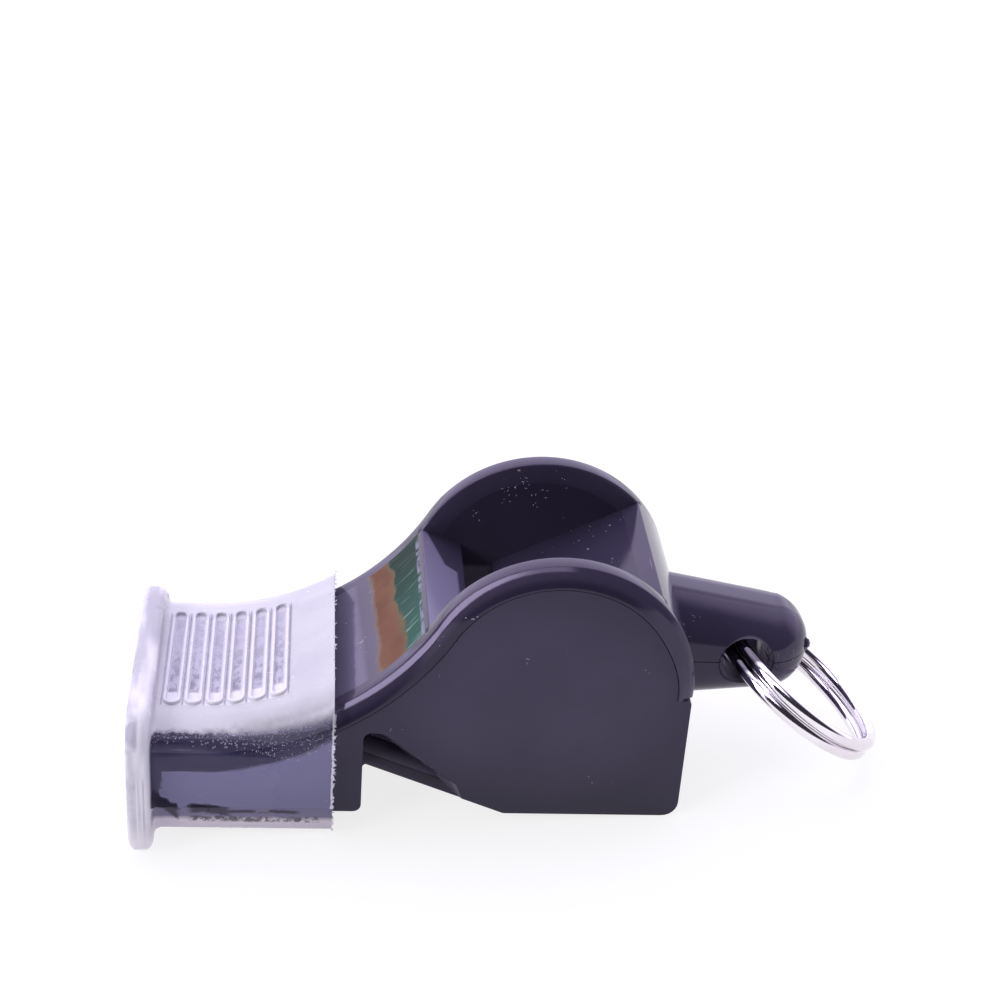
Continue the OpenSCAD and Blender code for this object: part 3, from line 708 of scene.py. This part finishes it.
def rim(side):
    """The raised rim of one cheek. Its profile is in depth and distance from the whistle's middle."""
    stack = []
    for p, out in CURVE:
        in_opening = p[1] > LIP[1] - 0.1 and LIP[0] - 0.05 < p[0] < REAR_EDGE[0]
        e = 0.16 if in_opening else 0.0
        profile = [
            (e, CHEEK_IN), (e * 0.45, CHEEK_IN + e * 0.12), (e * 0.12, CHEEK_IN + e * 0.45),
            (0, CHEEK_IN + e), (0, 8.5), (0, 9.08), (0.012, 9.14), (0.05, 9.20), (0.44, 9.53),
            (0.49, 9.565), (0.56, 9.60), (1.0, 9.80), (1.36, 9.955), (1.45, 9.985), (1.55, HALF),
            (1.61, 9.985), (BAND, 9.93), (BAND, 9.4), (GROOVE, 9.2), (GROOVE, CHEEK_IN),
        ]
        narrow = band_at(p) / BAND
        profile = [(d * narrow if d > 0.6 else d, w) for d, w in profile]
        stack.append([(p[0] - out[0] * d, side * w, p[1] - out[1] * d) for d, w in profile])
    return rings(stack)


def roof():
    """The ramp and the roof of the upper windway between the cheeks."""
    line = [p for p, out in CURVE if p[0] < LIP[0] - 0.15][::-1]
    under = [(MOUTH, WINDWAY_ROOF), (WINDWAY_BEND, WINDWAY_ROOF), (SLOT_X, SLOT_ROOF), (SLOT_X, SLOT_TOP)]
    under = fillet(under + [LIP, line[0]], {1: 0.3, 2: 0.1, 3: 0.14, 4: 0.16})[:-1]
    return prism(under + line, -CHEEK_IN, CHEEK_IN)


def rear_wall():
    """The curved wall behind the opening, with its sloping top face."""
    start = math.degrees(math.atan2(REAR_EDGE[1] - ARCH[1], REAR_EDGE[0]))
    outer = arc(ARCH, ARCH_R, start - 1.2, TAIL_END, 40)
    # the angle at which the sloping top face meets the wall's inner side
    angles = np.radians(np.linspace(0, 60, 2000))
    face = REAR_EDGE[1] + SLOPE * (REAR_R * np.cos(angles) - REAR_EDGE[0])
    meet = angles[int(np.argmin(abs(ARCH[1] + REAR_R * np.sin(angles) - face)))]
    inner = arc(ARCH, REAR_R, TAIL_END - 0.47, math.degrees(meet), 30)
    return prism(fillet([REAR_EDGE] + outer + inner, {0: 0.14}), -CHEEK_IN, CHEEK_IN)


def lug_half_width(x):
    past = x - (LUG_TIP - LUG_HALF)
    return LUG_HALF if past <= 0 else math.sqrt(max(0.0, LUG_HALF ** 2 - past ** 2))


def lug_levels(x):
    """Heights of the lug's lower and upper faces; its tip is round."""
    centre = LUG_TIP - LUG_TIP_R
    low, top = LUG_LOW + (x - LUG_ROOT) * LUG_RISE, LUG_TOP - (x - LUG_ROOT) * LUG_FALL
    swell = math.sqrt(max(0.0, LUG_TIP_R ** 2 - (x - centre) ** 2))
    if x > centre + LUG_TIP_R * math.sin(math.radians(LUG_TOP_TILT)):
        top = LUG_MID + swell
    if x > centre:
        low = LUG_MID - swell
    return low, top


def lug_edge(crease):
    """Upper half of the lug's section from the side wall to the crown: inset from the wall and height."""
    tilts = [(90 - 5 * k, 3.95 * math.radians(5)) for k in range(15)] + [(15, 0.14), (14, 0.14), (13, 0.14)]
    tilts += [(13 + crease * 11, 0.12), (11 + crease * 7, 0.12), (7 + crease * 2, 0.12), (3, 0.12), (0, 0.2)]
    inset, height, out = 0.0, 0.0, [(0.0, 0.0)]
    for tilt, step in tilts:
        inset += math.cos(math.radians(tilt)) * step
        height += math.sin(math.radians(tilt)) * step
        out.append((inset, height))
    return out


def lug_section(half, low, high, crease):
    """Points (y, z) round the lug's section: round above with a creased crown, and squarer below."""
    share = min(1.0, half / LUG_HALF)
    edge = lug_edge(crease)
    rise = (high - LUG_MID) / edge[-1][1]
    near = [(-half + d * share, LUG_MID + h * rise) for d, h in edge]
    r = min(2.7 * share, LUG_MID - low)
    under = arc((-half + r, low + r), r, -90, -180, 9)
    side = [(-half, low + r + (LUG_MID - low - r) * k / 4) for k in range(1, 4)]
    far_r = min(3.0 * share, high - LUG_MID, half)
    far = arc((half - far_r, high - far_r), far_r, 90, 0, 12)
    far_side = [(half, LUG_MID + (high - far_r - LUG_MID) * k / 3) for k in (2, 1, 0)]
    mirror = [(-y, z) for y, z in (under + side)[::-1]]
    return under + side + near + far + far_side + mirror


def lug_solid():
    tip = [LUG_TIP - 4.15 * (1 - math.sin(a)) for a in np.linspace(0.02, math.pi / 2 - 0.06, 20)]
    stack = []
    for x in list(np.linspace(LUG_START, LUG_STRAIGHT, 16)) + tip:
        crease = min(1.0, max(0.0, (20.2 - x) / 2.5))
        stack.append([(x, y, z) for y, z in lug_section(lug_half_width(x), *lug_levels(x), crease)])
    return rings(stack)


def hole_cutter():
    """The lug's hole with softly flared mouths: distance from the middle and growth of the radius."""
    flare = [(6, 2.35), (4.5, 0.85), (4.15, 0.52), (3.95, 0.36),
             (3.75, 0.23), (3.5, 0.11), (3.2, 0.03), (2.9, 0)]
    path = [(-y, grow) for y, grow in flare] + [(0, 0)] + flare[::-1]
    return rings([[(x, y, z) for x, z in arc(HOLE, HOLE_R + grow, 0, 360, 65)[:-1]] for y, grow in path])


def gate_mark():
    """Rough stub left on the lug's tip where it was moulded."""
    rng = np.random.default_rng(3)
    foot, mid_y, mid_z = 21.52, -1.35, 11.42
    stack = []
    for out, r in ((-0.25, 0.42), (0.0, 0.44), (0.10, 0.40), (0.22, 0.30), (0.32, 0.16)):
        t = np.linspace(0, 2 * math.pi, 15)[:-1]
        q = r * (1 + rng.uniform(-0.28, 0.28, len(t)))
        stack.append([(foot + out, mid_y + b * math.cos(a), mid_z + 1.25 * b * math.sin(a))
                      for a, b in zip(t, q)])
    return rings(stack)


lug_up, lug_low = halves(*carve("lug", lug_solid(), [hole_cutter()]), PARTING, SHELL_GAP)

# lower shell


def notch(side):
    """Cutter for the air outlet low in one cheek, with its bevelled mouth."""
    mouth = fillet([(NOTCH_X, 4.62), (NOTCH_X, 7.68), (-13.35, 7.68), (-7.3, 2.75), (-6.75, 1.27)],
                   {1: 0.75, 2: 0.7, 3: 0.8})
    throat = fillet([(-14.86, 5.2), (-14.86, 6.95), (-13.45, 6.95), (-9.0, 3.35), (-8.6, 2.7)],
                    {1: 0.55, 2: 0.5, 3: 0.3})
    deep = HALF - 0.95
    lead = [(2 * m[0] - t[0], 2 * m[1] - t[1]) for m, t in zip(mouth, throat)]
    levels = ((lead, 2 * PLATE - deep), (mouth, PLATE), (throat, deep), (throat, CHEEK_IN - 1.5))
    return rings([[(x, side * y, z) for x, z in ring] for ring, y in levels])


def lower_block():
    """The lower shell without the lug: a block with a hollow, two outlets and softened outer edges."""
    seam = PARTING - 0.05
    arch_start = RAMP[0] + RAMP_R * math.cos(math.radians(INFLECT - 180))
    up = [(p[0] - out[0] * (band_at(p) + 0.05), p[1] - out[1] * (band_at(p) + 0.05))
          for p, out in CURVE[::-1] if p[0] > arch_start and p[1] > seam]
    ramp = arc(RAMP, RAMP_R + GROOVE, INFLECT - 180, -90, 56)[1:]
    under = [(MOUTH, 0), (NOTCH_X, 0), (NOTCH_X, 4.7), (BASE_FRONT, 0), (BACK, 0), (BACK, seam)]
    under = fillet(under + [up[0]], {1: 0.65, 2: 0.2, 3: 0.6, 4: 1.3, 5: 0.25})[:-1]
    block = prism(under + up + ramp + [(MOUTH, MOUTH_TOP - GROOVE)], -PLATE, PLATE)
    inner, sill, past, over = BACK - WALL, 5.3, MOUTH - 1, 24
    hollow = [(past, FLOOR_WALL), (-24.5, FLOOR_WALL), (NOTCH_X, sill), (NOTCH_X + 0.5, sill),
              (-2.9, FLOOR_WALL), (inner - 1.3, FLOOR_WALL), (inner, 2.5), (inner, over), (past, over)]
    cut = carve("lower", block, [prism(hollow, -CHEEK_IN, CHEEK_IN), notch(-1), notch(1)])
    edge = HALF - 0.15
    return soften(*cut, lambda a, b: min(abs(a.y), abs(b.y)) > edge and a.x > MOUTH + 0.1, 0.13)


upper_shapes = [rim(-1), rim(1), roof(), rear_wall(), lug_up, gate_mark()]
upper = make("upper_shell_moulding", *gather(upper_shapes), SHELL_UP, "body")
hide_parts("upper_shell")
lower = make("lower_shell_moulding", *gather([lower_block(), lug_low]), SHELL_LOW, "body")
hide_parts("lower_shell")

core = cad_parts["chamber_core"]
core.data.materials.clear()
core.data.materials.append(CORE)

# mouth grip


def grip_top(x, out):
    """Height of a surface that lies a distance outside the mouthpiece's upper face."""
    if x <= RAMP[0]:
        return MOUTH_TOP + out
    return RAMP[1] - math.sqrt((RAMP_R - out) ** 2 - (x - RAMP[0]) ** 2)


def rounded_rect(half, low, high, r_low, r_near, r_far):
    """Points (y, z) round a rectangle with rounded corners, always as many and in the same order."""
    r_low, r_near, r_far = (min(r, half, (high - low) / 2) for r in (r_low, r_near, r_far))
    corners = [
        arc((half - r_low, low + r_low), r_low, -90, 0, 11),
        arc((half - r_far, high - r_far), r_far, 0, 90, 11),
        arc((r_near - half, high - r_near), r_near, 90, 180, 11),
        arc((r_low - half, low + r_low), r_low, 180, 270, 11),
    ]
    out = []
    for corner, follow in zip(corners, corners[1:] + corners[:1]):
        out += corner + [tuple(p) for p in np.linspace(corner[-1], follow[0], 9)[1:-1]]
    return out


def grip_skin():
    """The sleeve, its end lip and its flange as one closed skin, and how milky each of its points is."""
    stack, milk = [], []

    def ring(x, half, low, high, r_low, r_near, m=1.0, r_far=None):
        points = rounded_rect(half, low, high, r_low, r_near, r_near if r_far is None else r_far)
        stack.append([(x, y, z) for y, z in points])
        milk.extend([m] * len(points))

    # the inside, from the rear to the mouth
    for x in np.linspace(GRIP_REAR + 0.02, MOUTH - 0.05, 28):
        ring(x, HALF + GRIP_FIT, -GRIP_FIT, grip_top(x, GRIP_FIT), 0.3, 0.35, 0.0)
    # the end lip's opening: place, growth, corner radius and milk of each ring
    opening = [
        (MOUTH - 0.05, 0.2, 0.9, 0.3), (MOUTH - 0.12, 0.05, 0.9, 0.5), (MOUTH - 0.3, 0, 0.9, 0.6),
        (GRIP_FRONT + 0.35, 0, 0.9, 0.7), (GRIP_FRONT + 0.1, 0.1, 0.95, 0.8), (GRIP_FRONT, 0.35, 1.1, 0.8),
    ]
    for x, grow, r, m in opening:
        ring(x, END_HALF + grow, END_LIP - grow, MOUTH_TOP - END_LIP + grow, r, r, m)
    # the flange, rounded in front and behind
    side, low, high = HALF + SIDE + FLANGE_PROUD, -FACE - FLANGE_PROUD, MOUTH_TOP + FACE + FLANGE_PROUD
    r_low, r_near, r_far = FLANGE_CORNERS
    r, rear = FLANGE_ROUND, GRIP_FRONT + FLANGE_LENGTH
    ring(GRIP_FRONT, side - 1.9, low + 1.9, high - 1.9, 1.4, 2.0, r_far=3.7)
    quarter = np.linspace(0, math.pi / 2, 6)
    for a in quarter:
        d = r - r * math.sin(a)
        ring(GRIP_FRONT + r - r * math.cos(a), side - d, low + d, high - d, r_low, r_near, r_far=r_far)
    for a in quarter[1:]:
        d = r - r * math.cos(a)
        ring(rear - r + r * math.sin(a), side - d, low + d, high - d, r_low, r_near, r_far=r_far)
    # the outside, from the flange to the rear
    for x, grow in ((rear, 0.55), (rear + 0.06, 0.25), (rear + 0.2, 0.08), (rear + 0.4, 0.0)):
        ring(x, HALF + SIDE + grow, -UNDER_FACE - grow, grip_top(x, FACE) + grow, 1.3, 3.0)
    for x in np.linspace(rear + 0.6, GRIP_REAR - 0.12, 60):
        ring(x, HALF + SIDE, -UNDER_FACE, grip_top(x, FACE), 1.5, 3.0)
    top = grip_top(GRIP_REAR, FACE)
    for x, d, r_low, r_near in ((GRIP_REAR - 0.03, 0.03, 1.5, 3.0), (GRIP_REAR, 0.12, 1.45, 2.9)):
        ring(x, HALF + SIDE - d, -UNDER_FACE + d, top - d, r_low, r_near)
    return rings(stack, closed_path=True), milk


def loop_band(x0, upper_side):
    """One raised loop, laid over the sleeve's upper or lower face."""
    profile = [(-0.5, -0.35), (-0.5, 0.55), (-0.28, 0.95), (0.28, 0.95), (0.5, 0.55), (0.5, -0.35)]
    hw, hl = (LOOP_WIDTH - LOOP_LINE) / 2, (LOOP_LENGTH - LOOP_LINE) / 2
    r = hw * 0.96
    path = []
    for k, (cx, cy) in enumerate(((hw - r, hl - r), (r - hw, hl - r), (r - hw, r - hl), (hw - r, r - hl))):
        span = 90 * k, 90 * k + 90, 7
        turn = [(*p, *way) for p, way in zip(arc((cx, cy), r, *span), arc((0, 0), 1, *span))]
        # one long side lies before the third turn and the other after the last, each in ten steps
        if k == 2:
            path += [tuple(p) for p in np.linspace(path[-1], turn[0], 11)[1:-1]]
        path += turn
    path += [tuple(p) for p in np.linspace(path[-1], path[0], 11)[1:-1]]
    stack = []
    for px, py, nx, ny in path:
        ring = []
        for w, h in profile:
            x, y = x0 + px + nx * w * LOOP_LINE, py + ny * w * LOOP_LINE
            z = grip_top(x, FACE) + h * LOOP_LIFT if upper_side else -UNDER_FACE - h * LOOP_LIFT
            ring.append((x, y, z))
        stack.append(ring)
    return rings(stack, closed_path=True)


def ragged_flash():
    """Torn bits of vinyl along the sleeve's rear edge, on the near side and over the top."""
    rng = np.random.default_rng(11)
    parts = []
    for _ in range(FLASH_BITS):
        if rng.uniform(0, 1) < 0.72:
            y, z = -(HALF + SIDE) + 0.03, rng.uniform(-1.2, 10.0)
            out = np.array((0.0, -1.0, 0.0))
        else:
            y, z = rng.uniform(-8.2, 9.5), grip_top(GRIP_REAR, FACE) - 0.03
            out = np.array((-0.45, 0.0, 0.89))
        spot = np.array((GRIP_REAR + rng.uniform(-0.05, 0.06), y, z))
        length, width = rng.uniform(0.05, 0.30), rng.uniform(0.04, 0.12)
        way = np.array((rng.uniform(0.3, 1.0), rng.uniform(-0.3, 0.3), rng.uniform(-0.9, 0.9)))
        way /= np.linalg.norm(way)
        over = np.cross(way, out)
        over /= np.linalg.norm(over)
        parts.append(grain(spot, way * length, -way * 0.1, over * width, out * 0.07, -out * 0.05))
    return gather(parts)


def set_milk(obj, values):
    """Gives each point of a grip piece its milkiness, which the vinyl's material reads."""
    layer = obj.data.attributes.new("milk", "FLOAT", "POINT")
    layer.data.foreach_set("value", np.array(values, np.float32))


grip_shape, grip_milk = grip_skin()
grip = make("soft_mouth_grip", *grip_shape, GRIP, "grip", sharp=50, weld=False)
set_milk(grip, grip_milk)
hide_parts("mouth_grip")

loop_places = [MOUTH + LOOP_START + LOOP_PITCH * k for k in range(LOOPS)]
loops = [loop_band(x, upper_side) for x in loop_places for upper_side in (True, False)]
loop_shape = gather(loops + [ragged_flash()])
grip_loops = make("grip_loops", *loop_shape, GRIP, "grip", sharp=50, weld=False)
set_milk(grip_loops, [1.0] * len(loop_shape[0]))

# split ring


def ring_path():
    """Points along the two turns of wire, with the directions outward and along the ring's axis."""
    half = (WIRE + COIL_GAP) / 2
    bow = RING_R - math.sqrt(RING_R ** 2 - (LUG_HALF + RING_SHIFT) ** 2)
    offset = RING_R - bow / 2
    droop = Matrix.Rotation(math.radians(RING_DROOP), 3, "Y")
    turn = droop @ Matrix.Rotation(math.radians(RING_ROLL), 3, "X")
    up = turn @ Vector((0, 0, 1))
    out = []
    for a in np.arange(WIRE_START, WIRE_START + WIRE_TURN, WIRE_STEP):
        c, s = math.cos(math.radians(a)), math.sin(math.radians(a))
        t = np.clip((a - JOG_START) / JOG_TURN, 0, 1)
        p = Vector((offset + RING_R * c, -RING_SHIFT + RING_R * s, -half + 2 * half * (t * t * (3 - 2 * t))))
        out.append((turn @ p + Vector((HOLE[0], 0, HOLE[1])), turn @ Vector((c, s, 0)), up))
    return out


def ring_wire():
    """The wire as circles round its path, with rounded ends."""
    path = ring_path()
    r = WIRE / 2

    def circle(centre, radial, up, size):
        return [tuple(centre + radial * a + up * b) for a, b in arc((0, 0), size, 0, 360, 21)[:-1]]

    def end_cap(i, j):
        p, radial, up = path[i]
        away = (p - path[j][0]).normalized()
        return [circle(p + away * (r * out), radial, up, r * size)
                for out, size in ((0.18, 0.86), (0.28, 0.55))]

    body = [circle(p, radial, up, r * 0.995) for p, radial, up in path]
    return rings(end_cap(0, 1)[::-1] + body + end_cap(-1, -2))


ring = make("split_ring_wire", *ring_wire(), CHROME, "ring", sharp=60)
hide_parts("split_ring")

# dust

# where dust lies: start and direction of the line that finds the surface, spread, count, longest grain
DOWN, INTO, UNDER = (0, 0, -1), (0, 1, 0), (0, 0.8, -0.6)
DUST_SPOTS = [
    # far cheek
    ((-2.0, 0, 21.0), INTO, 0.75, 14, 0.34), ((-3.1, 0, 19.4), INTO, 0.5, 6, 0.26),
    ((-0.5, 0, 19.5), INTO, 0.7, 9, 0.30), ((-5.3, 0, 18.1), INTO, 0.45, 5, 0.28),
    ((0.8, 0, 22.1), INTO, 0.1, 1, 0.16), ((1.5, 0, 21.3), INTO, 0.2, 2, 0.18),
    # sloping floor in the opening
    ((5.4, 6.0, 26), DOWN, 0.15, 2, 0.30), ((3.5, 3.5, 26), DOWN, 0.15, 2, 0.26),
    ((1.0, 6.1, 26), DOWN, 0.1, 1, 0.2), ((0.0, 6.1, 26), DOWN, 0.1, 1, 0.2),
    ((4.2, 5.5, 26), DOWN, 0.5, 3, 0.14), ((3.3, 7.0, 26), DOWN, 0.5, 3, 0.14),
    ((4.9, 0.2, 26), DOWN, 0.3, 2, 0.16), ((6.6, 6.4, 26), DOWN, 0.3, 2, 0.14),
    # ramp
    ((-15.0, -1.5, 20), DOWN, 0.14, 6, 0.42), ((-16.4, 2.7, 20), DOWN, 0.4, 4, 0.14),
    ((-15.1, -3.4, 20), DOWN, 0.5, 3, 0.12),
    # near side
    ((-2.5, -20, 14.8), INTO, 0.25, 4, 0.22), ((-9.0, -20, 13.2), INTO, 0.2, 2, 0.16),
    ((6.8, -20, 13.9), INTO, 0.2, 2, 0.14), ((-12.4, -20, 7.6), INTO, 0.3, 3, 0.14),
    ((4.0, -20, 3.2), INTO, 0.8, 3, 0.14), ((-7.0, -20, 18.4), INTO, 0.3, 4, 0.3),
    # side of the lug, near rim, and down at the near side from above the lug
    ((18.4, -20, 11.6), INTO, 0.35, 6, 0.14), ((20.2, -20, 11.3), INTO, 0.3, 6, 0.16),
    ((-9.3, -20, 15.9), INTO, 0.3, 3, 0.16),
    ((11.2, -12, 20.5), UNDER, 0.5, 7, 0.15), ((12.0, -12, 21.4), UNDER, 0.7, 5, 0.16),
]


def dust_grains():
    """Small closed grains, each seated on the surface that its line meets."""
    graph = bpy.context.evaluated_depsgraph_get()
    trees = [BVHTree.FromObject(obj, graph) for obj in (upper, lower, core)]
    rng = np.random.default_rng(7)
    parts = []
    for start, way, spread, count, longest in DUST_SPOTS:
        way = Vector(way).normalized()
        side_a = way.orthogonal().normalized()
        side_b = way.cross(side_a)
        for _ in range(count):
            shift = rng.normal(0, 1, 2) * spread
            length, width = longest * rng.uniform(0.3, 1.0), rng.uniform(0.035, 0.07)
            turned = rng.uniform(0, math.pi)
            origin = (Vector(start) + side_a * shift[0] + side_b * shift[1]) * MM
            hits = [hit for hit in (t.ray_cast(origin, way) for t in trees) if hit[0] is not None]
            if not hits:
                continue
            spot, normal = min(hits, key=lambda hit: hit[3])[:2]
            if normal.dot(way) > 0:
                normal = -normal
            along = normal.orthogonal().normalized()
            along = (along * math.cos(turned) + normal.cross(along) * math.sin(turned)).normalized()
            ahead, aside = along * length / 2, normal.cross(along) * width / 2
            parts.append(grain(spot / MM, ahead, -ahead, aside, normal * 0.035, -normal * 0.02))
    return gather(parts)


dust = make("dust_grains", *dust_grains(), DUST, "body")

# camera

scene = bpy.context.scene
scene.view_settings.view_transform = "Standard"

CAM_PLACE = (-19.4723, -143.7751, 99.4917)
CAM_TURN = (57.96912, -3.49943, -3.47172)
cam_data = bpy.data.cameras.new("photo_camera")
cam = bpy.data.objects.new("photo_camera", cam_data)
scene.collection.objects.link(cam)
scene.camera = cam
cam_data.sensor_width, cam_data.lens = 36, 74.32
cam_data.shift_x, cam_data.shift_y = 0.02, 0.15
cam_data.clip_start, cam_data.clip_end = 0.005, 5
cam.location = Vector(CAM_PLACE) * MM
cam.rotation_euler = tuple(map(math.radians, CAM_TURN))

# floor, which slopes as the whistle leans; its half size is in metres
FLOOR_HALF = 1.6
slope = FLANGE_DROP / (TABLE_EDGE - FLANGE_FOOT)
floor_mesh = bpy.data.meshes.new("floor")
corners = [(x * FLOOR_HALF, y * FLOOR_HALF) for x, y in ((-1, -1), (1, -1), (1, 1), (-1, 1))]
floor_mesh.from_pydata([(x, y, (x - TABLE_EDGE * MM) * slope) for x, y in corners], [], [(0, 1, 2, 3)])
floor_mesh.materials.append(floor_material())
floor = bpy.data.objects.new("floor", floor_mesh)
scene.collection.objects.link(floor)

# light


def studio_world():
    """White to the camera, and a studio that is bright behind and over the object and dim in front."""
    world = bpy.data.worlds.new("studio")
    world.use_nodes = True
    n = Nodes(world.node_tree, "OutputWorld")
    path = n.new("LightPath").outputs
    x, y, z = n.split(n.new("TexCoord").outputs["Generated"])
    back = n.smooth(y, -0.30, 0.30, 0.045, 1.9)
    # a soft arc of light at the upper left, in front, which only reflections see
    across = n.plus(n.smooth(x, -0.60, -0.10, 8.5, 0.0), n.smooth(x, 0.10, 0.26, 4.4, 0.0))
    soft_arc = n.times(n.smooth(y, -0.64, -0.56), n.smooth(y, -0.26, -0.34), across,
                       n.smooth(z, -0.04, 0.06), path["Is Glossy Ray"])
    studio = n.new("Background", Color=(0.83, 0.765, 1.0), Strength=n.plus(back, soft_arc))
    white = n.new("Background", Color=(1.0, 1.0, 1.0), Strength=1.0)
    seen = n.most(path["Is Camera Ray"], path["Is Transmission Ray"])
    n.end(n.fill(n.new("MixShader"), seen, studio, white))
    return world


def softbox(name, place, width, height, watts, in_reflections):
    """A rectangular lamp turned towards the object. Its place and sizes are in metres."""
    data = bpy.data.lights.new(name, "AREA")
    data.shape = "RECTANGLE"
    data.size, data.size_y = width, height
    data.energy = watts
    data.color = (1.0, 0.985, 1.0)
    obj = bpy.data.objects.new(name, data)
    scene.collection.objects.link(obj)
    obj.location = place
    obj.rotation_mode = "QUATERNION"
    obj.rotation_quaternion = (Vector((0, 0, 0.01)) - Vector(place)).to_track_quat("-Z", "Y")
    obj.visible_camera = False
    obj.visible_glossy = in_reflections


scene.world = studio_world()
softbox("key_above", (-0.05, 0.08, 0.42), 0.36, 0.26, 0.2, True)
softbox("strip_left", (-0.36, -0.22, 0.23), 0.20, 0.16, 0.7, False)
softbox("front_above", (0.05, -0.37, 0.47), 0.24, 0.20, 0.3, False)
